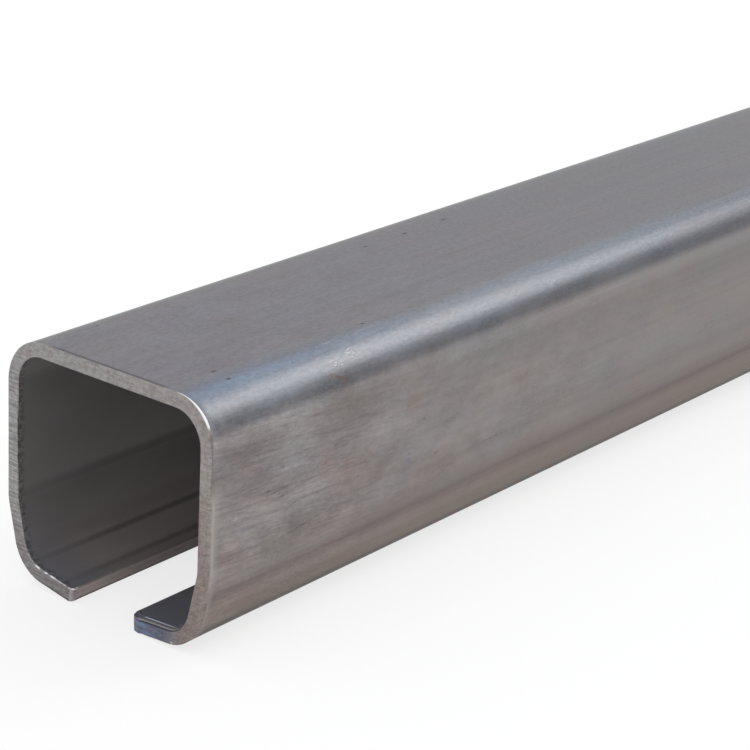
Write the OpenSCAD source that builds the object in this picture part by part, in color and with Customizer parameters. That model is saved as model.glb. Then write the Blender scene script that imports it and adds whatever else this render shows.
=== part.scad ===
// Running rail for sliding gates and doors: one steel strip, rolled into a deep channel that
// carries a trolley inside and is open below through a slot between two lips. Its walls are
// upright, then lean inwards and round under into the lips. Both ends are sawn square.
// +X runs along the rail, +Z is up, and z = 0 is the lowest edge of the lips.

/* [Length] */
// Length of the piece of rail
rail_l = 2000; // [500:50:6000]

/* [Section] */
// Width over the two side walls
section_w = 94; // [70:1:140]
// Height from the lowest edge of the lips to the top face
section_h = 85; // [65:1:140]
// Thickness of the strip
strip_t = 5; // [3:0.25:7]
// Width of the slot between the two lips
slot_w = 28; // [16:1:36]

/* [Lower walls and lips] */
// Height above the lips' lowest edge at which the walls begin to lean inwards
lean_h = 28; // [18:0.5:36]
// Angle by which the lower walls lean inwards from upright, in degrees
lean_a = 13.5; // [4:0.5:20]
// Angle by which the lips drop towards the slot, in degrees
lip_drop_a = 5; // [0:0.5:10]

/* [Bends] */
// Inside radius of the two top corners
top_bend_r = 11; // [4:0.5:18]
// Inside radius of the shallow bends where the walls begin to lean inwards
lean_bend_r = 10; // [2:0.5:20]
// Inside radius of the two lower corners, from the leaning walls into the lips
lower_bend_r = 10; // [4:0.5:14]

/* [Hidden] */

// Fineness of the round stretches
$fn = 128;
// How far the slot's cut runs past the lips, above and below
cut_over = 2;
// How far the bends stand proud of the flats, so that the two surfaces cross cleanly
bend_lap = 0.0005;
// Raw rolled steel
STEEL = [0.56, 0.55, 0.54];

// Directions pointing into the section, square to each stretch of the right-hand strip
TOP_IN = [0, -1];
WALL_IN = [-1, 0];
LEAN_IN = [-cos(lean_a), sin(lean_a)];
LIP_IN = [-sin(lip_drop_a), cos(lip_drop_a)];

// Outer lower corner, before rounding: where the leaning wall's line meets the lip's line
lean_run = tan(lean_a);
lip_fall = tan(lip_drop_a);
corner_y = (section_w / 2 - lean_run * (lean_h + slot_w / 2 * lip_fall)) / (1 - lean_run * lip_fall);
corner_z = (corner_y - slot_w / 2) * lip_fall;
// Height at which the two lips' lower faces would meet on the middle line
keel_z = -slot_w / 2 * lip_fall;

// A corner between two stretches, moved inwards by the same distance d from both
function inset(corner, in_a, in_b, d) = corner + d * (in_a + in_b) / (1 + in_a * in_b);

// Corners on the right of the closed outline that lies d inside the outer surface, upwards
function right_corners(d) = [
    inset([corner_y, corner_z], LIP_IN, LEAN_IN, d),
    inset([section_w / 2, lean_h], LEAN_IN, WALL_IN, d),
    inset([section_w / 2, section_h], WALL_IN, TOP_IN, d)
];
// All its corners, counter-clockwise from the keel, where the two lips' lines would meet
function corners(d) = [
    [0, keel_z + d / cos(lip_drop_a)],
    each right_corners(d),
    for (i = [2 : -1 : 0]) [-right_corners(d)[i][0], right_corners(d)[i][1]]
];
// Radii of its bends, upwards, and of all its corners: the keel stays sharp
function bend_radii(d) = [for (r = [lower_bend_r, lean_bend_r, top_bend_r]) r + strip_t - d];
function radii(d) = [0, each bend_radii(d), for (i = [2 : -1 : 0]) bend_radii(d)[i]];

function unit(v) = v / norm(v);

// Closed convex outline through the corners p, each rounded to its own radius in r
module rounded_outline(p, r) {
    n = len(p);
    back = [for (i = [0 : n - 1]) unit(p[(i + n - 1) % n] - p[i])];
    ahead = [for (i = [0 : n - 1]) unit(p[(i + 1) % n] - p[i])];
    // How far each bend reaches from its corner along the two sides
    reach = [for (i = [0 : n - 1]) r[i] * sqrt((1 + back[i] * ahead[i]) / (1 - back[i] * ahead[i]))];
    polygon([
        for (i = [0 : n - 1])
            each [p[i] + back[i] * reach[i], p[i] + ahead[i] * reach[i]]
    ]);
    for (i = [0 : n - 1])
        if (r[i] > 0)
            translate(p[i] + unit(back[i] + ahead[i]) * norm([r[i], reach[i]]))
                circle(r = r[i] + bend_lap);
}

// Cross-section of the rail: the strip between its two surfaces, open at the slot
module rail_section() {
    slot_top = corner_z + strip_t + cut_over;
    difference() {
        rounded_outline(corners(0), radii(0));
        rounded_outline(corners(strip_t), radii(strip_t));
        translate([-slot_w / 2, keel_z - cut_over])
            square([slot_w, slot_top - keel_z + cut_over]);
    }
}

// The whole rail, one piece of rolled strip
module running_rail() {
    color(STEEL)
        rotate([90, 0, 90])
            linear_extrude(height = rail_l, center = true)
                rail_section();
}

running_rail();
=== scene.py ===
import math

import bpy
import numpy as np
from mathutils import Matrix, Vector, noise


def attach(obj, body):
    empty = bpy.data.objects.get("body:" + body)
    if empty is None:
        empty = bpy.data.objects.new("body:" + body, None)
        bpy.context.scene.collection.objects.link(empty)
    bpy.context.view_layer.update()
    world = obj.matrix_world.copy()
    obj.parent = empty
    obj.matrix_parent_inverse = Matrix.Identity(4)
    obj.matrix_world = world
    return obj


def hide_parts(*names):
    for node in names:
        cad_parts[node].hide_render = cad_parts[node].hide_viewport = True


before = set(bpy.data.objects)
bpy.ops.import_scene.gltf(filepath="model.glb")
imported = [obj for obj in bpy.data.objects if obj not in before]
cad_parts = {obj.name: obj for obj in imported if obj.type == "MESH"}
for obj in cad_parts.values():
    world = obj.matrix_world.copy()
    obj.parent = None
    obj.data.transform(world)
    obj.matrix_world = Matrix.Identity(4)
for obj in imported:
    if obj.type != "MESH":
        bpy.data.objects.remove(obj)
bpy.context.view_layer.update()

MM = 0.001

# The rail's real sizes
RAIL_L = 2000 * MM
SECTION_W = 94 * MM
SECTION_H = 85 * MM
STRIP_T = 5 * MM
# Height at which the walls begin to lean inwards, and the angle of the lean from upright
LEAN_H = 28 * MM
LEAN_A = math.radians(13.5)
# Outside radii of the bends: from lip to wall, where the lean begins, and at the top
LOWER_R = 15 * MM
LEAN_R = 15 * MM
TOP_R = 16 * MM
# Each lip: distance of its tip from the middle line, its drop towards the slot, and how far
# its tip is rounded at the seen end, back along the rail and across it, over what length
NEAR_LIP = {"tip_y": 11.6 * MM, "drop": math.radians(3.9),
            "back": 4.8 * MM, "aside": -4.5 * MM, "reach": 8 * MM}
FAR_LIP = {"tip_y": 15.7 * MM, "drop": math.radians(8.5),
           "back": 1.9 * MM, "aside": 1.2 * MM, "reach": 3 * MM}
# Roundness of the slit edges along the lips' tips
TIP_ROUND = 0.55 * MM
# Waves left by rolling: how deep, and the sizes of the long and the short ones
WAVE_DEPTH = 0.10 * MM
LONG_WAVE = 24 * MM
SHORT_WAVE = 11 * MM

# Mesh fineness
FLAT_STEP = 3.2 * MM
BEND_STEP = math.radians(4.5)
# Steps through the strip, as shares of its thickness, finest next to its two surfaces
THROUGH = (0.0, 0.012, 0.045, 0.1, 0.26, 0.42, 0.58, 0.74, 0.9, 0.955, 0.988, 1.0)
# Angles round a deburred edge at which it has a ring, from the skin to the sawn face
BEVEL_STEPS = (0.0, 30.0, 60.0, 90.0)
# Distance between the skin's rings: fine over FINE_LENGTH from the seen end, then coarse
FINE_X = 4 * MM
COARSE_X = 14 * MM
FINE_LENGTH = 420 * MM
# How far the skin's first and last rings stay from the two ends
FIRST_RING = 4 * MM
LAST_RING = 8 * MM
# Angle between two faces from which their edge is shaded sharp
SHARP_ANGLE = math.radians(50)

# Sawn ends
# Each end is sawn a little off square: where its plane crosses the middle at the height
# mid_z, and how far it goes along the rail per metre of y and z
SEEN_CUT = {"at": -RAIL_L / 2 + 3.20 * MM, "by_y": 0.0190, "by_z": 0.0510, "mid_z": 40 * MM}
FAR_CUT = {"at": RAIL_L / 2 - 2.0 * MM, "by_y": 0.012, "by_z": -0.016, "mid_z": 40 * MM}
# Length over which the skin's rings go from the slant of the cut to square
CUT_FADE = 90 * MM
# Reach of the deburred edge, and what coarse and fine raggedness add to it at most
BEVEL_MIN = 0.28 * MM
RAGGED = {"more": 0.16 * MM, "size": 3.2 * MM}
FINE_RAGGED = {"more": 0.10 * MM, "size": 0.9 * MM}
EDGE_DEEPEST = 0.42 * STRIP_T
# Unevenness of the sawn faces: how far they lie back at most, and the size of its grain
CAP_ROUGH = 0.05 * MM
CAP_GRAIN = 1.6 * MM
# Below, a pair of distances is where a mark of the seen end begins and ends to fade
# Where the outer edge is worn round: the near top corner
WORN_CORNER = (-43.6 * MM, 79.8 * MM)
WORN_REACH = 10.5 * MM
WORN_MORE = 0.85 * MM
# How far the near wall's outer edge is rolled over, and what share of that goes inwards
EDGE_ROLLED = 1.7 * MM
ROLLED_IN = 0.3
ROLLED_OUT = (36 * MM, 44 * MM)
ROLLED_UP = (54 * MM, 66 * MM)
# How far the outer edge is eased under the lips
UNDER_EASED = 0.40 * MM
UNDER_OUT = (16 * MM, 19 * MM)
UNDER_UP = (14 * MM, 24 * MM)
# The shallow bevel filed along the near lip's upper edge: how far back, and how deep
FILED_BACK = 2.7 * MM
FILED_DEEP = 0.55 * MM
FILED_PAST_TIP = 4 * MM
FILED_OUT = (30 * MM, 38 * MM)
FILED_UP = (7 * MM, 11 * MM)
# Heights over which the rounding of the lips' tips fades
TIP_UP = (8 * MM, 12 * MM)
# Which part of the inner edge has the finish of the burr or of the filed bevel
LIPS_BELOW = 12 * MM
FILED_BELOW = 9 * MM
FILED_FROM, FILED_TO = -36 * MM, 1 * MM - NEAR_LIP["tip_y"]

# The finishes, in the order of the mesh's material slots
SKIN, INSIDE, SLIT, SAWN, FILED, BURR = range(6)


def half_corners(lip):
    """Outer corners of one half of the section, from the lip's tip up to the middle of the top."""
    lean, fall = math.tan(LEAN_A), math.tan(lip["drop"])
    y = (SECTION_W / 2 - lean * (LEAN_H + lip["tip_y"] * fall)) / (1 - lean * fall)
    z = (y - lip["tip_y"]) * fall
    return [Vector((lip["tip_y"], 0.0)), Vector((y, z)), Vector((SECTION_W / 2, LEAN_H)),
            Vector((SECTION_W / 2, SECTION_H)), Vector((0.0, SECTION_H))]


def flat_points(a, b, inward, with_end):
    """Points from a to b, each with the direction into the steel."""
    n = max(1, math.ceil((b - a).length / FLAT_STEP))
    last = n + 1 if with_end else n
    return [(a.lerp(b, i / n), inward) for i in range(last)]


def bend_points(centre, radius, start, turn):
    """Points round a bend: start is the angle of its first outward direction."""
    n = max(2, math.ceil(turn / BEND_STEP))
    made = []
    for i in range(n):
        out = Vector((math.cos(start + turn * i / n), math.sin(start + turn * i / n)))
        made.append((centre + out * radius, -out))
    return made


def half_outline(lip):
    """Outer surface of one half as (point, inward direction) pairs, the lip's tip first."""
    corner = half_corners(lip)
    radii = (LOWER_R, LEAN_R, TOP_R)
    made, start = [], corner[0]
    for mid, after, radius in zip(corner[1:], corner[2:], radii):
        along = (mid - start).normalized()
        ahead = (after - mid).normalized()
        turn = along.angle(ahead)
        reach = radius * math.tan(turn / 2)
        inward = Vector((-along.y, along.x))
        bend_start = mid - along * reach
        made += flat_points(start, bend_start, inward, False)
        centre = bend_start + inward * radius
        made += bend_points(centre, radius, math.atan2(-inward.y, -inward.x), turn)
        start = mid + ahead * reach
    made += flat_points(start, corner[-1], Vector((0, -1)), True)
    return made


def round_tip(grid, through, end, beside):
    """Rounds the slit edge at one end of the strip by drawing its points back along it."""
    along = grid[end + beside, 0] - grid[end, 0]
    along = along / np.linalg.norm(along)
    depth = np.minimum(through, STRIP_T - through)
    miss = np.clip(TIP_ROUND - depth, 0, TIP_ROUND)
    back = TIP_ROUND - np.sqrt(TIP_ROUND**2 - miss**2)
    grid[end] += along * back[:, None]


def section_grid():
    """The strip's cross-section as a grid: stations along the strip by steps through it.
    Returns arrays (stations, steps, 2) of y and z, from the near lip's tip to the far one's."""
    mirror = [(Vector((-p.x, p.y)), Vector((-n.x, n.y))) for p, n in half_outline(NEAR_LIP)]
    far = half_outline(FAR_LIP)[::-1][1:]
    outline = mirror + far
    points = np.array([tuple(p) for p, _ in outline])
    inwards = np.array([tuple(n) for _, n in outline])
    through = np.array(THROUGH) * STRIP_T
    grid = points[:, None, :] + inwards[:, None, :] * through[None, :, None]
    round_tip(grid, through, 0, 1)
    round_tip(grid, through, -1, -1)
    return grid


def loop_index(stations, steps):
    """Grid positions of the closed outline: outer surface, far tip, inner surface, near tip."""
    outer = [(i, 0) for i in range(stations)]
    far_tip = [(stations - 1, j) for j in range(1, steps - 1)]
    inner = [(i, steps - 1) for i in reversed(range(stations))]
    near_tip = [(0, j) for j in reversed(range(1, steps - 1))]
    return outer + far_tip + inner + near_tip


def loop_inward(loop):
    """Unit directions into the steel at each point of the closed outline."""
    ahead = np.roll(loop, -1, 0) - np.roll(loop, 1, 0)
    ahead /= np.linalg.norm(ahead, axis=1)[:, None]
    return np.column_stack([ahead[:, 1], -ahead[:, 0]])


def smooth_noise(x, y, z, size):
    """Smooth noise from -1 to 1 that changes over about size metres."""
    return noise.noise(Vector((x, y, z)) / size)


def wave(x, y, z):
    """How far rolling has left the surface low at this place, from 0 to WAVE_DEPTH."""
    long_wave = smooth_noise(x * 0.35, y, z, LONG_WAVE)
    short_wave = smooth_noise(x, y + 0.3, z, SHORT_WAVE)
    amount = 0.5 + 0.38 * long_wave + 0.12 * short_wave
    return WAVE_DEPTH * min(1.0, max(0.0, amount))


def step(value, low, high):
    """0 below low, 1 above high, smooth between."""
    t = min(1.0, max(0.0, (value - low) / (high - low)))
    return t * t * (3 - 2 * t)


def lip_at(y):
    """The lip on this side of the middle line."""
    return NEAR_LIP if y < 0 else FAR_LIP


def tip_share(y, z):
    """1 at the tip of a lip, falling to 0 over the length that is rounded."""
    lip = lip_at(y)
    return (1 - step(z, *TIP_UP)) * (1 - step(abs(y) - lip["tip_y"], 0, lip["reach"]))


def filed_share(y, z):
    """1 where the near lip's upper edge is filed, falling to 0 around it."""
    on_lip = (1 - step(z, *FILED_UP)) * (1 - step(y, FILED_PAST_TIP - NEAR_LIP["tip_y"], 0))
    return on_lip * (1 - step(-y, *FILED_OUT))


def even_edge(y, z):
    """How far the deburred edge reaches back all round both ends, a little ragged."""
    ragged = 0.5 + 0.5 * smooth_noise(y, z, 0.4, RAGGED["size"])
    fine = 0.5 + 0.5 * smooth_noise(y, z, 0.9, FINE_RAGGED["size"])
    return BEVEL_MIN + RAGGED["more"] * ragged + FINE_RAGGED["more"] * fine


def worn_edge(y, z, back):
    """The seen end's outer edge, worn, rolled over and eased: how far back, and how deep."""
    from_corner = math.hypot(y - WORN_CORNER[0], z - WORN_CORNER[1])
    back += WORN_MORE * math.exp(-((from_corner / WORN_REACH) ** 2))
    rolled = step(-y, *ROLLED_OUT) * (1 - step(z, *ROLLED_UP)) * EDGE_ROLLED
    under = (1 - step(z, *UNDER_UP)) * step(abs(y), *UNDER_OUT)
    return back + rolled, back + rolled * ROLLED_IN + under * UNDER_EASED


def edge_shape(y, z, inner, seen):
    """The deburred edge of a sawn end at a place of the section: how far it reaches back
    along the rail, how deep it cuts into the section, and how flat it is, from 0 to 1."""
    back = deep = even_edge(y, z)
    if not seen:
        return back, deep, 0.0
    flat = filed_share(y, z) if inner else 0.0
    if inner:
        back += flat * (FILED_BACK - back)
        deep += flat * (FILED_DEEP - deep)
    else:
        back, deep = worn_edge(y, z, back)
    back = max(back, tip_share(y, z) * lip_at(y)["back"])
    return back, min(deep, EDGE_DEEPEST), flat


def cut_x(cut, y, z):
    """Where the plane of a sawn end is along the rail, at a place of the section."""
    return cut["at"] + cut["by_y"] * y + cut["by_z"] * (z - cut["mid_z"])


def ring_places():
    """Distances from the seen end at which the skin has a ring, without the two bevels."""
    fine = np.arange(FIRST_RING, FINE_LENGTH, FINE_X)
    count = round((RAIL_L - FINE_LENGTH) / COARSE_X)
    return np.concatenate([fine, np.linspace(FINE_LENGTH, RAIL_L - LAST_RING, count)])


def bevel_rings(loop, inward, inner, cut, side):
    """Rings of one deburred edge, from the skin to the sawn face. side is +1 at the seen end."""
    shapes = [edge_shape(y, z, is_inner, side > 0) for (y, z), is_inner in zip(loop, inner)]
    back, deep, flat = np.array(shapes).T
    tip_aside = np.array([tip_share(y, z) * lip_at(y)["aside"] for y, z in loop])
    rings = []
    for angle in BEVEL_STEPS:
        a = math.radians(angle)
        sink = deep * ((1 - flat) * (1 - math.cos(a)) + flat * angle / 90)
        rest = back * ((1 - flat) * (1 - math.sin(a)) + flat * (1 - angle / 90))
        yz = loop + inward * sink[:, None]
        if side > 0:
            yz[:, 0] += (1 - math.cos(a)) * tip_aside
        x = np.array([cut_x(cut, y, z) for y, z in yz]) + side * rest
        rings.append(np.column_stack([x, yz]))
    return rings


def skin_ring(loop, inward, distance):
    """One ring of the skin at a distance from the seen end, with the waves of rolling."""
    x = np.full(len(loop), -RAIL_L / 2 + distance)
    near_w = max(0.0, 1 - distance / CUT_FADE)
    far_w = max(0.0, 1 - (RAIL_L - distance) / CUT_FADE)
    for k, (y, z) in enumerate(loop):
        x[k] += near_w * (cut_x(SEEN_CUT, y, z) + RAIL_L / 2)
        x[k] += far_w * (cut_x(FAR_CUT, y, z) - RAIL_L / 2)
    depth = np.array([wave(x[k], y, z) for k, (y, z) in enumerate(loop)])
    return np.column_stack([x, loop + inward * depth[:, None]])


def all_rings(loop, inward, inner):
    """Every ring of the rail, from the seen end's face to the far end's."""
    seen = bevel_rings(loop, inward, inner, SEEN_CUT, 1)[::-1]
    middle = [skin_ring(loop, inward, distance) for distance in ring_places()]
    return seen + middle + bevel_rings(loop, inward, inner, FAR_CUT, -1)


def cap_points(ring, stations, steps, rough):
    """The sawn face's inner points, in straight lines through the strip, a little uneven."""
    outer = ring[:stations]
    inner = ring[stations + steps - 2:2 * stations + steps - 2][::-1]
    share = np.array(THROUGH[1:-1])[None, :, None]
    grid = outer[1:-1, None, :] * (1 - share) + inner[1:-1, None, :] * share
    points = grid.reshape(-1, 3)
    for p in points:
        p[0] += rough * (0.5 + 0.5 * smooth_noise(p[1] * 0.2, p[2], 0.7, CAP_GRAIN))
    return points


def cap_faces(ring_start, inner_start, order, stations, steps):
    """Quads that close one end, between its last ring and its inner points."""
    place = {ij: ring_start + k for k, ij in enumerate(order)}
    for i in range(1, stations - 1):
        for j in range(1, steps - 1):
            place[(i, j)] = inner_start + (i - 1) * (steps - 2) + (j - 1)
    corners = [(i, j) for i in range(stations - 1) for j in range(steps - 1)]
    return [[place[(i, j)], place[(i + 1, j)], place[(i + 1, j + 1)], place[(i, j + 1)]]
            for i, j in corners]


def loop_marks(stations, steps):
    """Which finish the skin has along each side of the closed outline."""
    tip = [SLIT] * (steps - 1)
    return [SKIN] * (stations - 1) + tip + [INSIDE] * (stations - 1) + tip


def edge_mark(place, inner, seen):
    """Which finish the deburred edge has at a place of the section."""
    y, z = place
    if not (seen and inner and z < LIPS_BELOW):
        return SAWN
    if y > FAR_LIP["tip_y"]:
        return BURR
    return FILED if z < FILED_BELOW and FILED_FROM < y < FILED_TO else SAWN


def side_faces(loop, inner, ring_count, marks_round):
    """Quads between each ring and the next, and the finish of each."""
    count, edge_rings = len(loop), len(BEVEL_STEPS)
    faces, marks = [], []
    for r in range(ring_count - 1):
        seen, on_edge = r < edge_rings, r < edge_rings - 1 or r >= ring_count - edge_rings
        for k in range(count):
            a, b = r * count + k, r * count + (k + 1) % count
            faces.append([a, a + count, b + count, b])
            marks.append(edge_mark(loop[k], inner[k], seen) if on_edge else marks_round[k])
    return faces, marks


def strip_girths(grid):
    """Distance of each station round the strip from the middle of the top, near side positive."""
    outer = grid[:, 0]
    run = np.concatenate([[0], np.cumsum(np.linalg.norm(np.diff(outer, axis=0), axis=1))])
    return np.interp(0, outer[:, 0], run) - run


def point_girths(grid, order, ring_count):
    """Distance round the strip of every point of the mesh: its rings, then its two caps."""
    station = strip_girths(grid)
    ring = np.array([station[i] for i, _ in order])
    cap = np.repeat(station[1:-1], grid.shape[1] - 2)
    return np.concatenate([np.tile(ring, ring_count), cap, cap])


def unroll(mesh, girths):
    """Gives the mesh its place on the unrolled strip: metres along the rail, metres round."""
    layer = mesh.uv_layers.new(name="unrolled")
    index = np.empty(len(mesh.loops), dtype=np.int32)
    mesh.loops.foreach_get("vertex_index", index)
    places = np.empty(len(mesh.vertices) * 3)
    mesh.vertices.foreach_get("co", places)
    along = places.reshape(-1, 3)[:, 0] + RAIL_L / 2
    layer.data.foreach_set("uv", np.column_stack([along[index], girths[index]]).ravel())


def rail_mesh():
    """The dressed rail as one closed mesh: rings along its length and a grid on each end."""
    grid = section_grid()
    stations, steps = grid.shape[:2]
    order = loop_index(stations, steps)
    loop = np.array([grid[i, j] for i, j in order])
    inner = [j == steps - 1 for _, j in order]
    rings = all_rings(loop, loop_inward(loop), inner)
    seen_cap = cap_points(rings[0], stations, steps, CAP_ROUGH)
    far_cap = cap_points(rings[-1], stations, steps, -CAP_ROUGH)
    points = np.concatenate([*rings, seen_cap, far_cap])

    faces, marks = side_faces(loop, inner, len(rings), loop_marks(stations, steps))
    last_ring = (len(rings) - 1) * len(loop)
    caps_start = len(rings) * len(loop)
    faces += cap_faces(0, caps_start, order, stations, steps)
    far_faces = cap_faces(last_ring, caps_start + len(seen_cap), order, stations, steps)
    faces += [quad[::-1] for quad in far_faces]
    marks += [SAWN] * (len(faces) - len(marks))

    mesh = bpy.data.meshes.new("running_rail_dressed")
    mesh.from_pydata(points.tolist(), [], faces)
    mesh.polygons.foreach_set("material_index", marks)
    mesh.update()
    unroll(mesh, point_girths(grid, order, len(rings)))
    mesh.shade_smooth()
    mesh.set_sharp_from_angle(angle=SHARP_ANGLE)
    return mesh


def build_rail():
    """The dressed rail with its finishes."""
    mesh = rail_mesh()
    for make in (skin_material, inside_material, slit_material, sawn_material, filed_material,
                 burr_material):
        mesh.materials.append(make())
    rail = bpy.data.objects.new("running_rail_dressed", mesh)
    bpy.context.scene.collection.objects.link(rail)
    return rail


# Materials
# Base colours of the rolled skin by distance round the strip from the middle of the top, in mm,
# with painted light: light and dark bands across the top bend stand in for its highlight and the
# dark band under it, a dark line marks the bend where the lean begins, the walls are warmed to
# stand in for a reflected brownish floor, and the bottom edge is painted dark as shade
SKIN_AND_PAINTED_LIGHT_BY_GIRTH = (
    (0, (0.205, 0.201, 0.214)), (24, (0.205, 0.201, 0.214)),
    (30, (0.216, 0.213, 0.228)), (37, (0.198, 0.202, 0.212)),
    (41, (0.180, 0.182, 0.191)), (43, (0.193, 0.197, 0.210)),
    (45, (0.208, 0.214, 0.233)), (47.5, (0.206, 0.214, 0.237)),
    (49.8, (0.216, 0.214, 0.226)), (52.3, (0.271, 0.260, 0.263)),
    (54.5, (0.261, 0.248, 0.248)), (58, (0.236, 0.220, 0.219)),
    (62, (0.234, 0.219, 0.218)), (70, (0.254, 0.236, 0.235)),
    (82, (0.258, 0.241, 0.240)), (92, (0.246, 0.228, 0.225)),
    (99, (0.266, 0.241, 0.233)), (101.6, (0.256, 0.229, 0.221)),
    (103.2, (0.238, 0.208, 0.201)), (104.4, (0.210, 0.180, 0.173)),
    (105.2, (0.216, 0.185, 0.178)), (106.0, (0.246, 0.209, 0.198)),
    (106.9, (0.238, 0.201, 0.190)), (107.8, (0.266, 0.227, 0.214)),
    (109.4, (0.274, 0.234, 0.220)), (112, (0.256, 0.218, 0.203)),
    (116, (0.262, 0.218, 0.198)), (117.8, (0.222, 0.184, 0.165)),
    (119, (0.112, 0.090, 0.079)), (124, (0.085, 0.072, 0.066)),
)
# Length that the colour ramp above is stretched over
GIRTH_END = 160 * MM
# How much of a plain metal's grazing brightness the oxide skin keeps
SKIN_GRAZING = 0.72
# Distances round the strip over which the top bend ends and the leaning wall begins
BEND_ENDS = (44 * MM, 56 * MM)
LEAN_BEGINS = (94 * MM, 101 * MM)
# Stains and rubbed places of the skin: distance along the rail and round the strip, half
# length, half width in mm, turn in degrees, how strong, and the tint
STAINS = (
    (19, 64, 19, 7.0, 31, 1.02, (1.00, 0.90, 0.89)),
    (55, 74, 6.5, 17, 8, 1.02, (1.00, 0.91, 0.88)),
    (65, 80, 20, 14, 0, 1.19, (1.00, 0.91, 0.87)),
    (28, 52.8, 18, 0.9, 5, 1.02, (1.16, 1.15, 1.13)),
    (30, 50.4, 17, 1.0, 5, 0.85, (0.88, 0.91, 0.98)),
    (30, 84, 26, 14, 0, 0.765, (1.04, 1.01, 0.96)),
    (99, 66, 13, 9, -8, 0.85, (1.00, 0.89, 0.82)),
    (42, 71, 12, 8, 10, 0.85, (1.05, 1.08, 1.12)),
    (97, 86, 12, 5, 14, 1.275, (0.84, 0.87, 0.97)),
    (118, 78, 9, 3.0, 5, 0.85, (0.84, 0.84, 0.86)),
    (64, 47.5, 8, 1.9, 24, 1.615, (1.08, 0.76, 0.62)),
    (150, 70, 22, 9, 4, 0.595, (1.05, 1.04, 1.00)),
    (190, 53.4, 95, 0.9, 0, 0.85, (1.12, 1.11, 1.10)),
    (150, 57.0, 80, 0.8, 1, 0.765, (1.10, 1.09, 1.07)),
    (260, 60.5, 90, 0.9, 0, 0.68, (1.09, 1.08, 1.06)),
    (215, 84, 30, 8, -3, 0.595, (0.90, 0.90, 0.93)),
    (9, 92, 12, 20, 0, 1.275, (1.30, 1.21, 1.16)),
    (24, 60, 24, 6, 6, 0.765, (0.90, 0.88, 0.90)),
    (9, 70, 8, 16, 0, 0.85, (1.08, 1.09, 1.10)),
    (9, 77, 7, 7, 0, 0.68, (1.10, 1.10, 1.08)),
    (44, -14, 16, 8, 12, 0.68, (0.94, 0.94, 1.00)),
    (16, 12, 26, 20, 0, 0.51, (0.99, 0.97, 1.05)),
    (30, 24, 42, 13, 0, 0.51, (0.97, 1.00, 1.09)),
    (120, 8, 26, 7, -4, 0.51, (1.05, 1.04, 1.02)),
    (30, 22, 9, 4, 20, 0.595, (0.92, 0.94, 1.02)),
)
# The painted bluish reflection over the near end of the top bend, in the same form
PAINTED_BLUE_REFLECTION = (20, 34, 110, 11, 0, 0.8, (0.92, 1.04, 1.26))
# Small dark pits: distance along the rail and round the strip, and radius, in mm
PITS = (
    (25.5, 26.7, 0.75), (24.8, 33.9, 0.65), (91.2, 31.0, 0.6), (178.2, -23.4, 0.9),
    (156.0, -23.4, 0.7), (202.2, -24.2, 0.9), (35.6, 69.4, 0.6), (28.8, 75.7, 0.5),
    (111.7, 87.8, 0.6), (39.9, 87.8, 0.55), (60.7, 69.5, 0.6), (97.7, 83.9, 0.5),
    (105.2, 73.5, 0.55), (30.0, -30.6, 0.5),
)
# How far a pit's shade spreads along and round the strip, in radii
PIT_SPREAD = (2.6, 1.6)
# Fine scratches: start and end along the rail and round the strip, half width, in mm
SCRATCHES = (
    (11, 56.5, 44, 60.0, 0.22), (32, 55.5, 46, 56.4, 0.20), (14, 60.5, 37, 64.0, 0.18),
    (23, 94.4, 62, 90.5, 0.34), (70, 62, 96, 60.5, 0.18), (25, 80, 52, 77, 0.18),
    (60, -6, 96, -9, 0.16), (12, 6, 34, 9, 0.16), (120, 92, 170, 91, 0.20),
    (25, 79.5, 46, 79.0, 0.30), (31, 84, 54, 82.5, 0.28), (17, 78, 45, 76.0, 0.25),
)
# Painted glints, bright specks on the top bend's highlight: distance along and round, half width,
# in mm
PAINTED_GLINTS = ((69.6, 33.9, 1.6), (66.0, 43.2, 2.6), (75.0, 41.6, 3.0), (180.2, 43.1, 2.2))
GLINT_LONGER = 1.6
GLINT_TURN = 25
# Painted shade lines along the inside's bends: distance round the strip, half width in mm, and how
# dark
BEND_SHADE_LINES = ((95.4, 2.8, 0.37), (123.8, 2.5, 0.46), (140.5, 1.9, 0.34), (143.0, 6.5, 0.20))
# Painted highlights and glints on the seen end: place across and up, half width, half height, in mm
BURR_GLINTS = ((32.2, 7.2, 1.5, 1.2), (28.0, 6.7, 0.9, 1.0), (24.4, 6.5, 1.9, 0.7),
              (16.3, 5.3, 1.2, 0.9))
FILED_HIGHLIGHT_SPOT = (-31.6, 2.3, 0.9, 0.5)
FAR_TIP_GLINT = (15.1, 5.0, 1.0, 0.8)
WORN_CORNER_HIGHLIGHT = (-38.8, 82.8, 9.3, 9.3)


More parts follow.
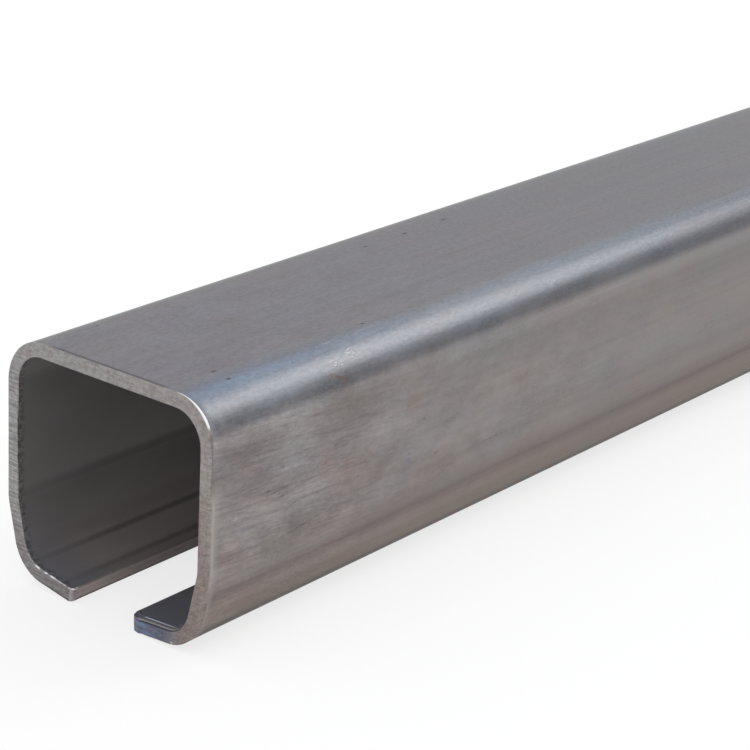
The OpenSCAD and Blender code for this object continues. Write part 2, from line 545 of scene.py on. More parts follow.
class Nodes:
    """Short calls for building one material's node tree, in metres where they don't say mm.
    where is a place on the object, strip one on the unrolled strip."""

    def __init__(self, name):
        self.material = bpy.data.materials.new(name)
        self.material.use_nodes = True
        self.tree = self.material.node_tree
        self.tree.nodes.clear()
        self.out = self.add("ShaderNodeOutputMaterial")
        places = self.add("ShaderNodeTexCoord").outputs
        self.where, self.strip = places["Object"], places["UV"]

    def add(self, kind, **values):
        node = self.tree.nodes.new(kind)
        for key, value in values.items():
            setattr(node, key, value)
        return node

    def put(self, value, socket):
        """Links a node's output to an input, or sets the input to a plain value."""
        if isinstance(value, bpy.types.NodeSocket):
            self.tree.links.new(value, socket)
        else:
            socket.default_value = value

    def sized(self, source, size, at=(0, 0, 0), turn=0.0):
        """Coordinates that are 1 at the given size from a place, turned by degrees."""
        node = self.add("ShaderNodeMapping", vector_type="TEXTURE")
        self.put(source, node.inputs["Vector"])
        node.inputs["Location"].default_value = at
        node.inputs["Rotation"].default_value = (0, 0, math.radians(turn))
        node.inputs["Scale"].default_value = size
        return node.outputs["Vector"]

    def noise(self, source, size, detail=3.0, rough=0.55, at=(0, 0, 0), turn=0.0):
        """Noise whose largest cells have the given size."""
        node = self.add("ShaderNodeTexNoise")
        self.put(self.sized(source, size, at, turn), node.inputs["Vector"])
        node.inputs["Scale"].default_value = 1.0
        node.inputs["Detail"].default_value = detail
        node.inputs["Roughness"].default_value = rough
        return node.outputs["Fac"]

    def ramp(self, value, low, high, to_low=0.0, to_high=1.0):
        """Goes smoothly from to_low to to_high as the value goes from low to high."""
        node = self.add("ShaderNodeMapRange", interpolation_type="SMOOTHSTEP")
        self.put(value, node.inputs["Value"])
        limits = {"From Min": low, "From Max": high, "To Min": to_low, "To Max": to_high}
        for key, limit in limits.items():
            node.inputs[key].default_value = limit
        return node.outputs["Result"]

    def fall(self, value, low, high):
        """1 below low, 0 above high."""
        return self.ramp(value, low, high, 1, 0)

    def band(self, value, rise, fall):
        """Rises from 0 to 1 over the first pair of limits and falls to 0 over the second."""
        return self.all_of(self.ramp(value, *rise), self.fall(value, *fall))

    def math(self, kind, a, b=0.0):
        node = self.add("ShaderNodeMath", operation=kind)
        self.put(a, node.inputs[0])
        self.put(b, node.inputs[1])
        return node.outputs[0]

    def chain(self, kind, values):
        found = values[0]
        for value in values[1:]:
            found = self.math(kind, found, value)
        return found

    def most(self, *values):
        """The largest of the values."""
        return self.chain("MAXIMUM", values)

    def all_of(self, *values):
        """The product of the values."""
        return self.chain("MULTIPLY", values)

    def mix(self, share, a, b, kind="MIX"):
        node = self.add("ShaderNodeMix", data_type="RGBA", blend_type=kind)
        self.put(share, node.inputs["Factor"])
        for value, socket in ((a, node.inputs[6]), (b, node.inputs[7])):
            plain = isinstance(value, tuple) and len(value) == 3
            self.put((*value, 1) if plain else value, socket)
        return node.outputs[2]

    def lay(self, colour, over, *shares):
        """Lays one colour over another, by the product of the shares."""
        return self.mix(self.all_of(*shares), colour, over)

    def tint(self, colour, by, *shares):
        """Multiplies a colour by a tint, by the product of the shares."""
        return self.lay(colour, self.mix(1.0, colour, by, "MULTIPLY"), *shares)

    def shade(self, colour, value, low, high, dark, light):
        """Multiplies a colour by a shade that goes from dark to light as value rises."""
        return self.mix(1.0, colour, self.mix(self.ramp(value, low, high), dark, light), "MULTIPLY")

    def split(self, source):
        node = self.add("ShaderNodeSeparateXYZ")
        self.put(source, node.inputs[0])
        return node.outputs

    def stops(self, value, table, end):
        """A colour from a table of places in mm and colours, stretched over end."""
        node = self.add("ShaderNodeValToRGB")
        self.put(self.math("DIVIDE", value, end), node.inputs["Fac"])
        elements = node.color_ramp.elements
        elements.remove(elements[1])
        for i, (at, colour) in enumerate(table):
            element = elements[0] if i == 0 else elements.new(at * MM / end)
            element.color = (*colour, 1)
        return node.outputs["Color"]

    def length(self, source):
        node = self.add("ShaderNodeVectorMath", operation="LENGTH")
        self.put(source, node.inputs[0])
        return node.outputs["Value"]

    def from_cut(self, cut):
        """Distance from the plane of a sawn end, along the rail."""
        x, y, z = self.split(self.where)
        x = self.math("SUBTRACT", x, cut["at"] - cut["by_z"] * cut["mid_z"])
        x = self.math("SUBTRACT", x, self.math("MULTIPLY", y, cut["by_y"]))
        return self.math("SUBTRACT", x, self.math("MULTIPLY", z, cut["by_z"]))

    def bump(self, height, distance, strength, below=None):
        node = self.add("ShaderNodeBump")
        self.put(height, node.inputs["Height"])
        node.inputs["Distance"].default_value = distance
        node.inputs["Strength"].default_value = strength
        if below is not None:
            self.put(below, node.inputs["Normal"])
        return node.outputs["Normal"]

    def metal(self, colour, roughness, normal, metallic=1.0, grazing=1.0):
        """Ends the tree with a metal surface, and gives the finished material."""
        shader = self.add("ShaderNodeBsdfPrincipled")
        shader.inputs["Metallic"].default_value = metallic
        shader.inputs["Specular Tint"].default_value = (grazing, grazing, grazing, 1)
        self.put(colour, shader.inputs["Base Color"])
        self.put(roughness, shader.inputs["Roughness"])
        self.put(normal, shader.inputs["Normal"])
        self.put(shader.outputs["BSDF"], self.out.inputs["Surface"])
        return self.material

    def glow(self, colour, strength):
        node = self.add("ShaderNodeEmission")
        node.inputs["Color"].default_value = colour
        node.inputs["Strength"].default_value = strength
        return node.outputs[0]


class SkinNodes(Nodes):
    """The rolled skin's nodes, with the places and masks that its layers share."""

    def __init__(self):
        super().__init__("rolled_skin")
        self.along, girth, _ = self.split(self.strip)
        self.around = self.math("ABSOLUTE", girth)
        self.on_wall = self.ramp(self.around, *BEND_ENDS)
        self.near_end = self.fall(self.along, 40 * MM, 130 * MM)
        self.mottle = self.noise(self.strip, (0.026, 0.015, 1), 7, 0.82)
        self.rag = self.noise(self.strip, (0.006, 0.004, 1), 4, 0.7, at=(0.3, 0.1, 0))
        self.rubbed = self.all_of(self.on_wall, self.ramp(self.around, *LEAN_BEGINS, 1.0, 0.5))
        self.busy = self.busy_share()

    def busy_share(self):
        """How busy the mottling is: most at the seen end, and here and there farther on."""
        at_end = self.ramp(self.along, 50 * MM, 330 * MM, 1.0, 0.24)
        further = self.ramp(self.noise(self.strip, (0.28, 0.20, 1), 1), 0.35, 0.65, 0.25, 1.0)
        further = self.all_of(further, self.ramp(self.along, 480 * MM, 720 * MM))
        calm = self.ramp(self.around, *LEAN_BEGINS, 1.0, 0.45)
        return self.all_of(self.most(at_end, further), calm)

    def spot(self, u, g, long, wide, turn=0.0, soft=0.6, ragged=0.0):
        """1 within an oval of the strip, falling to 0 at its ragged edge. Places in mm."""
        far = self.length(self.sized(self.strip, (long * MM, wide * MM, 1),
                                     (u * MM, g * MM, 0), turn))
        if ragged:
            far = self.math("ADD", far, self.math("MULTIPLY", self.rag, ragged))
        return self.fall(far, 1 - soft, 1)

    def scratch(self, u0, g0, u1, g1, wide):
        """1 within a thin line of the strip between two places. Places in mm."""
        long = math.hypot(u1 - u0, g1 - g0) / 2
        turn = math.degrees(math.atan2(g1 - g0, u1 - u0))
        return self.spot((u0 + u1) / 2, (g0 + g1) / 2, long, wide, turn, 0.8)


class EndNodes(Nodes):
    """Nodes of a finish at the seen end: places y and z on it, and the depth behind its cut."""

    def __init__(self, name):
        super().__init__(name)
        _, self.y, self.z = self.split(self.where)
        self.depth = self.from_cut(SEEN_CUT)

    def spot(self, y, z, wide, high, soft):
        """1 within an oval of the end's face, falling to 0 at its edge. Places in mm."""
        far = self.length(self.sized(self.where, (1, wide * MM, high * MM),
                                     (-RAIL_L / 2, y * MM, z * MM)))
        return self.fall(far, 1 - soft, 1)


def skin_clouds(m, colour):
    """Mottling, larger patches on the wall near the seen end, and fine grain."""
    wall = m.shade(colour, m.mottle, 0.30, 0.70, (0.83, 0.82, 0.81), (1.185, 1.19, 1.195))
    top = m.shade(colour, m.mottle, 0.30, 0.70, (0.89, 0.885, 0.88), (1.11, 1.115, 1.12))
    colour = m.lay(colour, m.mix(m.on_wall, top, wall), m.busy)
    patches = m.noise(m.strip, (0.030, 0.016, 1), 2, 0.5, at=(0.45, 0.35, 0))
    patched = m.shade(colour, patches, 0.34, 0.66, (0.87, 0.855, 0.86), (1.12, 1.125, 1.125))
    colour = m.lay(colour, patched, m.near_end, m.rubbed)
    fine = m.noise(m.strip, (0.0026, 0.0012, 1), 3, 0.75, at=(0.15, 0.75, 0))
    fine = m.shade(colour, fine, 0.32, 0.68, (0.895, 0.893, 0.90), (1.105, 1.105, 1.10))
    return m.lay(fine, colour, m.on_wall, m.ramp(m.near_end, 0, 1, 1, 0.3))


def skin_rolling(m, colour):
    """Slight changes of hue, and long streaks from the rolls."""
    hue = m.noise(m.strip, (0.034, 0.017, 1), 4, 0.6, at=(0.7, 0.2, 0))
    colour = m.shade(colour, hue, 0.33, 0.67, (1.025, 0.985, 0.965), (0.99, 1.005, 1.012))
    streaks = m.noise(m.strip, (0.30, 0.0035, 1), 4, 0.7, at=(0.1, 0.5, 0))
    return m.shade(colour, streaks, 0.3, 0.7, (0.955, 0.95, 0.95), (1.045, 1.045, 1.045))


def skin_brushing(m, colour):
    """Short strokes at two slants where the wall is rubbed near the seen end."""
    brushed = m.noise(m.strip, (0.022, 0.0014, 1), 3, 0.7, at=(0.2, 0.4, 0), turn=4)
    crossed = m.noise(m.strip, (0.012, 0.0011, 1), 3, 0.7, at=(0.6, 0.8, 0), turn=14)
    strokes = m.mix(m.ramp(brushed, 0.34, 0.54), (0.80, 0.785, 0.805), (1.03, 1.03, 1.03))
    strokes = m.shade(strokes, crossed, 0.33, 0.5, (0.90, 0.89, 0.895), (1.01, 1.01, 1.01))
    return m.tint(colour, strokes, m.near_end, m.rubbed, m.ramp(m.mottle, 0.35, 0.55))


def skin_tints(m, colour):
    """Painted light on the top, lighter and bluer near the seen end and darker farther on; the
    bend's highlight painted down farther on; a painted bluish reflection on the top bend's near
    end; and the stains.
    """
    # Painted reflection and shade: the top lighter and bluer near the seen end, darker farther on
    top_painted_light = m.mix(m.ramp(m.along, 60 * MM, 360 * MM), (1.035, 1.03, 1.07), (0.96, 0.955, 0.975))
    colour = m.tint(colour, top_painted_light, m.fall(m.around, 26 * MM, 34 * MM))
    # Painted shade that dims the top bend's highlight farther from the seen end
    dimmed_highlight = m.band(m.around, (36 * MM, 39 * MM), (39.5 * MM, 45 * MM))
    colour = m.tint(colour, (0.78, 0.80, 0.84), dimmed_highlight, m.ramp(m.along, 60 * MM, 420 * MM))
    # A painted bluish reflection on the top bend's near end
    *blue_reflection, strength, tint = PAINTED_BLUE_REFLECTION
    colour = m.tint(colour, tint, m.spot(*blue_reflection, 1.0, 0.3), strength)
    for *stain, strength, tint in STAINS:
        colour = m.tint(colour, tint, m.spot(*stain, 0.9, 0.7), strength)
    return colour


def skin_dark_marks(m):
    """How dark the pits, the specks and the scratches make the skin."""
    long, wide = PIT_SPREAD
    pits = m.most(*[m.spot(u, g, r * long, r * wide, 0, 0.7, 0.3) for u, g, r in PITS])
    pits = m.all_of(pits, m.ramp(m.on_wall, 0, 1, 1, 0.4))
    specks = m.noise(m.strip, (0.0022, 0.0016, 1), 2, 0.6, at=(0.5, 0.9, 0))
    specks = m.all_of(m.ramp(specks, 0.715, 0.76), m.busy)
    broken = m.noise(m.strip, (0.0020, 0.004, 1), 2, 0.6, at=(0.9, 0.3, 0))
    lines = m.most(*[m.scratch(*ends) for ends in SCRATCHES])
    lines = m.all_of(lines, m.ramp(broken, 0.38, 0.6))
    return m.most(m.all_of(pits, 0.85), m.all_of(specks, 0.4), m.all_of(lines, 0.45))


def skin_painted_glints(m, colour):
    """Painted glints: sparkling specks on the top bend's highlight."""
    spark = m.noise(m.strip, (0.0009, 0.0006, 1), 1, 0.5, at=(0.4, 0.6, 0))
    glints = m.most(*[m.spot(u, g, r * GLINT_LONGER, r, GLINT_TURN) for u, g, r in PAINTED_GLINTS])
    # Painted glints laid over the colour
    return m.lay(colour, (0.60, 0.61, 0.64), glints, m.ramp(spark, 0.60, 0.67), 0.45)


def skin_end_edge(m, colour):
    """Along the seen end: a rubbed light line on the wall, and a dark line of painted shade on the
    top.
    """
    depth = m.from_cut(SEEN_CUT)
    colour = m.lay(colour, (0.37, 0.345, 0.335), m.fall(depth, 1.8 * MM, 5.2 * MM),
                   m.ramp(m.around, 62 * MM, 74 * MM), 0.5)
    # Painted shade: a dark line along the back of the top's deburred edge
    return m.lay(colour, (0.06, 0.05, 0.06), m.fall(depth, 1.2 * MM, 1.9 * MM),
                 m.fall(m.around, 22 * MM, 30 * MM), 0.6)


def skin_material():
    """The rail's outside, under a thin rolling skin of oxide."""
    m = SkinNodes()
    # The base colours by girth hold painted highlight, reflection and shade across the bends
    colour = m.stops(m.around, SKIN_AND_PAINTED_LIGHT_BY_GIRTH, GIRTH_END)
    for layer in (skin_clouds, skin_rolling, skin_brushing, skin_tints):
        colour = layer(m, colour)
    dark = skin_dark_marks(m)
    colour = m.lay(colour, (0.050, 0.050, 0.066), dark)
    colour = skin_end_edge(m, skin_painted_glints(m, colour))
    grain = m.noise(m.strip, (0.0016, 0.0010, 1), 4, 0.8, at=(0.8, 0.7, 0))
    normal = m.bump(dark, -0.00012, 0.6, m.bump(grain, 0.00009, 0.6))
    return m.metal(colour, m.ramp(m.mottle, 0.3, 0.7, 0.26, 0.34), normal, grazing=SKIN_GRAZING)


def inside_bend_shade(m, colour, along, around, near_lip):
    """Painted shade lines along the inside's bends, fainter at the seen end and none on the near
    lip.
    """
    shade_lines_share = m.all_of(m.ramp(along, 6 * MM, 45 * MM, 0.5, 1.0), m.fall(near_lip, 0, 1))
    for at, half, dark in BEND_SHADE_LINES:
        away = m.math("ABSOLUTE", m.math("SUBTRACT", around, at * MM))
        line = m.fall(away, 0.2 * half * MM, half * MM)
        # Painted shade along an inside bend
        colour = m.lay(colour, (0.04, 0.036, 0.038), line, dark, shade_lines_share)
    return colour


def inside_material():
    """The rail's dull inside, with painted fill light lower down and deeper along the rail, bluer
    on the lips at the seen end, with a torn edge there.
    """
    m = Nodes("rolled_inside")
    along, girth, _ = m.split(m.strip)
    around = m.math("ABSOLUTE", girth)
    mottle = m.noise(m.strip, (0.030, 0.012, 1), 6, 0.7)
    low = m.ramp(around, 96 * MM, 130 * MM)
    # Painted fill light: the lower inside is made lighter
    colour = m.mix(low, (0.238, 0.222, 0.224), (0.385, 0.355, 0.352))
    colour = m.shade(colour, mottle, 0.3, 0.7, (0.975, 0.97, 0.97), (1.025, 1.025, 1.03))
    rolled = m.noise(m.strip, (0.25, 0.003, 1), 4, 0.7, at=(0.1, 0.5, 0))
    colour = m.shade(colour, rolled, 0.3, 0.7, (0.985, 0.985, 0.985), (1.015, 1.015, 1.015))
    # Painted fill light: lighter deeper along the rail
    colour = m.shade(colour, along, 10 * MM, 90 * MM, (0.95, 0.94, 0.94), (1.30, 1.27, 1.27))
    near_lip = m.ramp(girth, 108 * MM, 118 * MM)
    colour = m.tint(colour, (0.62, 0.66, 0.74), near_lip)
    colour = inside_bend_shade(m, colour, along, around, near_lip)
    colour = m.lay(colour, (0.165, 0.185, 0.235), m.fall(along, 4 * MM, 26 * MM), low, 0.6)
    torn = m.noise(m.strip, (0.0018, 0.0018, 1), 3, 0.8, at=(0.3, 0.6, 0))
    colour = m.lay(colour, (0.035, 0.034, 0.038), m.ramp(torn, 0.44, 0.54),
                   m.fall(m.from_cut(SEEN_CUT), 0.8 * MM, 4.0 * MM), 0.6)
    grain = m.noise(m.strip, (0.0030, 0.0016, 1), 4, 0.8, at=(0.8, 0.7, 0))
    return m.metal(colour, m.ramp(mottle, 0.3, 0.7, 0.42, 0.52), m.bump(grain, 0.00005, 0.5),
                   metallic=0.5)


def slit_material():
    """The strip's slit edges along the slot: dark below, with painted light along the upper edge,
    painted shade deeper along the rail, and a painted glint at the seen end.
    """
    m = Nodes("slit_edge")
    along, _, _ = m.split(m.strip)
    _, _, height = m.split(m.where)
    cloud = m.noise(m.where, (0.012, 0.004, 0.004), 5, 0.7)
    lines = m.noise(m.where, (0.09, 0.0012, 0.0012), 3, 0.6, at=(0.3, 0, 0))
    colour = m.mix(m.ramp(cloud, 0.35, 0.7), (0.185, 0.152, 0.142), (0.262, 0.222, 0.212))
    colour = m.shade(colour, lines, 0.3, 0.7, (0.85, 0.85, 0.85), (1.12, 1.12, 1.12))
    # Painted shade: lighter near the seen end, darker deeper along the rail
    colour = m.shade(colour, along, 8 * MM, 50 * MM, (1.36, 1.34, 1.38), (0.65, 0.65, 0.66))
    colour = m.lay(colour, (0.035, 0.032, 0.032), m.ramp(height, 0.5 * MM, 1.3 * MM, 0.75, 0))
    # Painted light along the upper edge
    colour = m.lay(colour, (0.34, 0.31, 0.30), m.ramp(height, 4.2 * MM, 4.8 * MM, 0, 0.5))
    # A painted glint at the seen end's upper corner
    at_end = m.fall(m.from_cut(SEEN_CUT), 2.0 * MM, 3.4 * MM)
    colour = m.lay(colour, (0.80, 0.77, 0.79), m.ramp(height, 4.2 * MM, 4.7 * MM), at_end, 0.8)
    grain = m.noise(m.where, (0.003, 0.0012, 0.0012), 3, 0.7, at=(0, 0.2, 0))
    return m.metal(colour, m.ramp(cloud, 0.3, 0.7, 0.36, 0.46), m.bump(grain, 0.00006, 0.6),
                   metallic=0.3)


def sawn_face(m, speck, teeth):
    """The sawn face's colour, with specks, tooth marks and rust."""
    near = m.mix(m.ramp(m.z, 10 * MM, 72 * MM), (0.258, 0.219, 0.204), (0.296, 0.275, 0.271))
    far = m.mix(m.ramp(m.z, 10 * MM, 30 * MM), (0.235, 0.222, 0.228), (0.288, 0.284, 0.281))
    colour = m.mix(m.ramp(m.y, -44 * MM, 30 * MM), near, far)
    colour = m.shade(colour, speck, 0.34, 0.66, (0.78, 0.76, 0.75), (1.19, 1.19, 1.185))
    marked = m.shade(colour, teeth, 0.36, 0.64, (0.80, 0.79, 0.79), (1.15, 1.15, 1.15))
    bare = m.all_of(m.ramp(m.y, -38 * MM, 0, 0.3, 0.75), m.ramp(m.z, 74 * MM, 80 * MM, 1, 0.35))
    colour = m.lay(colour, marked, m.most(bare, m.ramp(m.y, 36 * MM, 42 * MM)))
    rust = m.noise(m.where, (0.0026, 0.0030, 0.0019), 4, 0.7, at=(0.2, 0, 0))
    return m.shade(colour, rust, 0.52, 0.70, (1.01, 1.015, 1.015), (0.93, 0.80, 0.76))


def sawn_near_lip(m, colour, on_lip):
    """The near lip's end with a painted bluish reflection and its streaks, and one painted
    highlight spot.
    """
    near_lip = m.all_of(on_lip, m.band(m.y, (-37 * MM, -26 * MM), (0, 5 * MM)))
    # Painted reflection: the near lip's end tinted blue
    colour = m.tint(colour, (0.56, 0.74, 1.10), near_lip, 0.9)
    streak = m.noise(m.where, (0.05, 0.009, 0.0016), 2, 0.6, at=(0.9, 0, 0))
    colour = m.lay(colour, (0.17, 0.26, 0.38), m.ramp(streak, 0.46, 0.58), near_lip,
                   m.ramp(m.y, -27 * MM, -20 * MM), 0.8)
    # A painted highlight spot
    return m.lay(colour, (0.47, 0.51, 0.55), m.spot(*FILED_HIGHLIGHT_SPOT, 0.8))


def sawn_far_lip(m, colour, on_lip):
    """The far lip: a dark line under it and a worn tip with a painted glint."""
    underside = m.math("MULTIPLY", m.math("SUBTRACT", m.y, FAR_LIP["tip_y"]),
                       math.tan(FAR_LIP["drop"]))
    colour = m.lay(colour, (0.045, 0.042, 0.044),
                   m.fall(m.math("SUBTRACT", m.z, underside), 0.5 * MM, 1.2 * MM),
                   m.band(m.y, (16.5 * MM, 18 * MM), (28 * MM, 33 * MM)), 0.8)
    colour = m.lay(colour, (0.47, 0.41, 0.43),
                   m.band(m.y, (15 * MM, 16.2 * MM), (16.6 * MM, 18.6 * MM)),
                   m.ramp(m.depth, 0.04 * MM, 0.22 * MM), on_lip, 0.75)
    # A painted glint on the far lip's tip
    return m.lay(colour, (0.85, 0.82, 0.85), m.spot(*FAR_TIP_GLINT, 0.6))


def sawn_walls(m, colour):
    """A dark torn line inside the far wall, and a reddened strip inside the near one."""
    torn = m.noise(m.where, (0.004, 0.0020, 0.0022), 3, 0.8, at=(0.5, 0, 0))
    torn = m.math("SUBTRACT", m.y, m.math("MULTIPLY", torn, 1.8 * MM))
    colour = m.lay(colour, (0.055, 0.050, 0.050), m.fall(torn, 41.1 * MM, 41.5 * MM),
                   m.ramp(m.y, 30 * MM, 36 * MM),
                   m.band(m.z, (36 * MM, 42 * MM), (56 * MM, 64 * MM)), 0.85)
    return m.lay(colour, (0.20, 0.085, 0.070),
                 m.band(m.y, (-42.9 * MM, -42.1 * MM), (-38 * MM, -34 * MM)),
                 m.band(m.z, (32 * MM, 40 * MM), (52 * MM, 62 * MM)), 0.6)


def sawn_outer_edge(m, colour):
    """The near wall's outer edge: a painted highlight along its rolled edge below, a dark line of
    painted shade in the groove above, and a painted highlight where the top corner is worn.
    """
    on_edge = m.fall(m.y, -45.5 * MM, -43.5 * MM)
    # Painted highlight along the rolled outer edge
    colour = m.lay(colour, (0.43, 0.41, 0.40), m.ramp(m.depth, 0.5 * MM, 1.3 * MM), on_edge,
                   m.band(m.z, (20 * MM, 28 * MM), (50 * MM, 60 * MM)), 0.55)
    # Painted shade in the groove along the edge
    colour = m.lay(colour, (0.12, 0.11, 0.11), m.ramp(m.depth, 0.12 * MM, 0.3 * MM), on_edge,
                   m.band(m.z, (54 * MM, 60 * MM), (74 * MM, 76 * MM)), 0.5)
    # Painted highlight where the worn top corner catches the light
    return m.lay(colour, (0.88, 0.90, 0.92), m.ramp(m.depth, 0.35 * MM, 0.65 * MM),
                 m.spot(*WORN_CORNER_HIGHLIGHT, 0.18))


def sawn_material():
    """The sawn ends, with the wear and the stains of the seen one."""
    m = EndNodes("sawn_end")
    speck = m.noise(m.where, (0.0020, 0.0022, 0.0012), 4, 0.8)
    teeth = m.noise(m.where, (0.05, 0.020, 0.00070), 1, 0.5, at=(0, 0, 0.2))
    on_lip = m.fall(m.z, 6 * MM, 13 * MM)
    colour = sawn_near_lip(m, sawn_face(m, speck, teeth), on_lip)
    colour = sawn_outer_edge(m, sawn_walls(m, colour))
    colour = sawn_far_lip(m, colour, on_lip)
    return m.metal(colour, m.ramp(speck, 0.3, 0.7, 0.33, 0.45), m.bump(teeth, 0.00008, 0.6))


def burr_material():
    """The ragged burr along the far lip's inner edge: bright torn spots, painted as glints, on a
    dull line.
    """
    m = EndNodes("burr_edge")
    fine = m.noise(m.where, (0.0020, 0.0012, 0.0012), 3, 0.8)
    colour = m.mix(m.ramp(fine, 0.38, 0.62), (0.13, 0.12, 0.125), (0.36, 0.345, 0.35))
    colour = m.lay(colour, (0.55, 0.53, 0.54), m.ramp(m.y, 20 * MM, 28 * MM, 0.7, 0),
                   m.ramp(fine, 0.30, 0.45))
    # Painted glints on the torn burr
    glint_spots = m.most(*[m.spot(*spot, 0.5) for spot in BURR_GLINTS])
    colour = m.lay(colour, (0.88, 0.88, 0.90), glint_spots, m.ramp(fine, 0.32, 0.48, 0.35, 1.0))
    return m.metal(colour, 0.4, m.bump(fine, 0.00015, 0.8), metallic=0.4)


def filed_material():
    """The bevel filed along the near lip's upper edge. From its front to its back: a dark line of
    painted shade, a light line, a dark blue band, and a thin bright burr line of painted highlight."""
    m = EndNodes("filed_bevel")
    lines = m.noise(m.where, (0.0010, 0.02, 0.01), 3, 0.7)
    colour = m.mix(m.ramp(lines, 0.3, 0.7), (0.19, 0.175, 0.20), (0.31, 0.295, 0.325))
    colour = m.lay(colour, (0.085, 0.085, 0.135), m.ramp(m.depth, 1.35 * MM, 1.75 * MM, 0, 0.6))
    light = m.band(m.depth, (0.65 * MM, 0.85 * MM), (1.05 * MM, 1.35 * MM))
    colour = m.lay(colour, (0.56, 0.53, 0.56), light, 0.75)
    # Painted shade: a dark line at the bevel's front edge
    front = m.fall(m.depth, 0.35 * MM, 0.68 * MM)
    colour = m.lay(colour, (0.05, 0.046, 0.055), front, 0.85)
    # Painted highlight: a thin bright line along the bevel's back edge
    ragged = m.noise(m.where, (0.004, 0.004, 0.004), 3, 0.7, at=(0.4, 0, 0))
    behind = m.math("ADD", m.depth, m.math("MULTIPLY", ragged, 0.3 * MM))
    colour = m.lay(colour, (0.80, 0.87, 0.98),
                   m.ramp(behind, FILED_BACK - 0.40 * MM, FILED_BACK - 0.20 * MM),
                   m.fall(m.y, -18.5 * MM, -16 * MM), m.ramp(m.y, -34 * MM, -20 * MM, 0.4, 1.0))
    return m.metal(colour, 0.42, m.bump(lines, 0.00005, 0.5), metallic=0.35)


# Studio
FLOOR_SIZE = 30.0
FLOOR_COLOUR = (0.97, 0.97, 0.97, 1)
# What share of the floor is plain white, for the camera and in reflections
FLOOR_WHITE = 0.75
FLOOR_GLOSS = 0.45
WHITE = (1.0, 1.0, 1.0, 1)
KEY_BOX = {"name": "key_box", "at": Vector((0.87, -0.59, 1.69)), "width": 1.2, "height": 0.92,
           "radiance": 2.3, "colour": (0.93, 0.97, 1.0)}
SKY_BOX = {"name": "sky_box", "at": Vector((0.85, 0.55, 1.75)), "width": 1.1, "height": 1.1,
           "radiance": 0.66, "colour": (0.50, 0.74, 1.0)}
# A screen that only reflections see, a little darker than the world
FLAG = {"at": Vector((0.60, -1.18, 0.56)), "width": 1.25, "height": 0.80, "radiance": 0.62,
        "colour": (0.95, 0.97, 1.0, 1)}
LOOK_FROM = Vector((-0.95, 0.0, 0.08))


def make_world():
    world = bpy.data.worlds.new("studio")
    world.use_nodes = True
    background = world.node_tree.nodes["Background"]
    background.inputs["Color"].default_value = WHITE
    background.inputs["Strength"].default_value = 1.0
    bpy.context.scene.world = world


def floor_material():
    """White paper: part of what the camera and reflections see of it is plain white, so that
    the object's shadow stays light."""
    m = Nodes("floor_paper")
    paper = m.add("ShaderNodeBsdfDiffuse")
    paper.inputs["Color"].default_value = FLOOR_COLOUR
    path = m.add("ShaderNodeLightPath").outputs
    direct = m.all_of(m.most(path["Is Camera Ray"], path["Is Transmission Ray"]), FLOOR_WHITE)
    mirrored = m.all_of(path["Is Glossy Ray"], FLOOR_GLOSS)
    mixed = m.add("ShaderNodeMixShader")
    m.put(m.most(direct, mirrored), mixed.inputs[0])
    m.put(paper.outputs[0], mixed.inputs[1])
    m.put(m.glow(WHITE, 1.0), mixed.inputs[2])
    m.put(mixed.outputs[0], m.out.inputs["Surface"])
    return m.material


def flag_material():
    m = Nodes("flag_cloth")
    m.put(m.glow(FLAG["colour"], FLAG["radiance"]), m.out.inputs["Surface"])
    return m.material


def make_sheet(name, width, height, material):
    """A flat rectangle round its own middle, facing +Z."""
    w, h = width / 2, height / 2
    mesh = bpy.data.meshes.new(name)
    mesh.from_pydata([(-w, -h, 0), (w, -h, 0), (w, h, 0), (-w, h, 0)], [], [(0, 1, 2, 3)])
    mesh.materials.append(material)
    sheet = bpy.data.objects.new(name, mesh)
    bpy.context.scene.collection.objects.link(sheet)
    return sheet


def make_floor():
    floor = make_sheet("floor", FLOOR_SIZE, FLOOR_SIZE, floor_material())


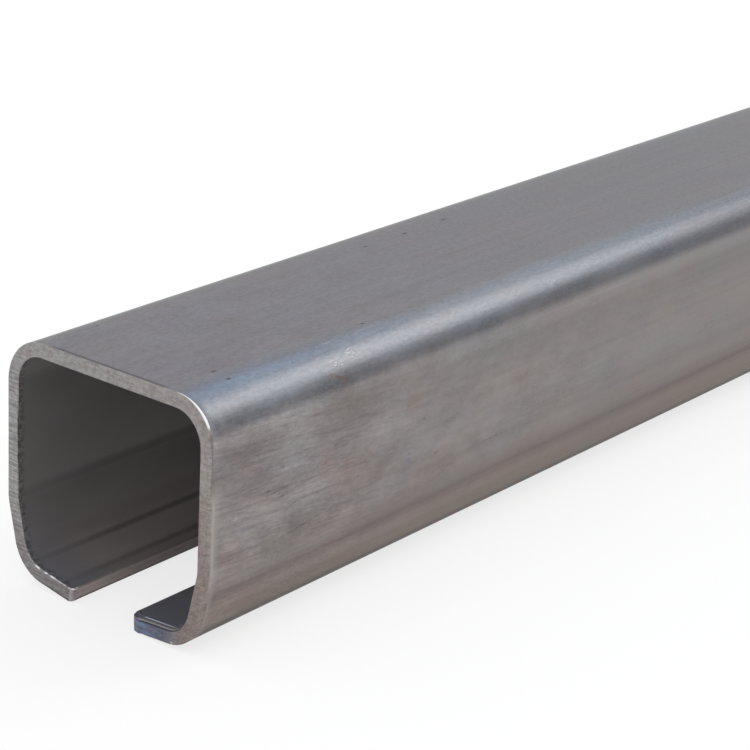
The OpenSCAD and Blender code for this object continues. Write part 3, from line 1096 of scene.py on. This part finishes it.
def facing(at, target):
    """Turns the -Z side of an object at a place towards the target."""
    turn = (target - at).to_track_quat("-Z", "Y").to_matrix().to_4x4()
    return Matrix.Translation(at) @ turn


def make_softbox(kit):
    lamp = bpy.data.lights.new(kit["name"], "AREA")
    lamp.shape = "RECTANGLE"
    lamp.size, lamp.size_y = kit["width"], kit["height"]
    lamp.energy = kit["radiance"] * math.pi * kit["width"] * kit["height"]
    lamp.color = kit["colour"]
    box = bpy.data.objects.new(kit["name"], lamp)
    box.matrix_world = facing(kit["at"], LOOK_FROM)
    bpy.context.scene.collection.objects.link(box)


def make_flag():
    flag = make_sheet("flag", FLAG["width"], FLAG["height"], flag_material())
    flag.matrix_world = facing(FLAG["at"], LOOK_FROM)
    flag.visible_camera = False
    flag.visible_diffuse = False
    flag.visible_shadow = False


# Camera
CAMERA_AT = Vector((-1.455_377, -0.497_122, 0.336_606))
CAMERA_YAW = 0.699_890
CAMERA_PITCH = -0.359_070
CAMERA_ROLL = -0.018_160
CAMERA_LENS = 111.045
SENSOR = 36.0


def make_camera():
    camera = bpy.data.objects.new("camera", bpy.data.cameras.new("camera"))
    camera.data.sensor_width = SENSOR
    camera.data.lens = CAMERA_LENS
    ahead = Vector((math.cos(CAMERA_PITCH) * math.cos(CAMERA_YAW),
                    math.cos(CAMERA_PITCH) * math.sin(CAMERA_YAW),
                    math.sin(CAMERA_PITCH)))
    level = Vector((math.sin(CAMERA_YAW), -math.cos(CAMERA_YAW), 0))
    under = ahead.cross(level)
    right = math.cos(CAMERA_ROLL) * level + math.sin(CAMERA_ROLL) * under
    down = -math.sin(CAMERA_ROLL) * level + math.cos(CAMERA_ROLL) * under
    turn = Matrix((right, -down, -ahead)).transposed().to_4x4()
    camera.matrix_world = Matrix.Translation(CAMERA_AT) @ turn
    bpy.context.scene.collection.objects.link(camera)
    bpy.context.scene.camera = camera


def main():
    make_camera()
    make_world()
    make_floor()
    make_softbox(KEY_BOX)
    make_softbox(SKY_BOX)
    make_flag()
    rail = build_rail()
    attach(rail, "root")
    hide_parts("running_rail")
    bpy.context.scene.view_settings.view_transform = "Standard"


main()
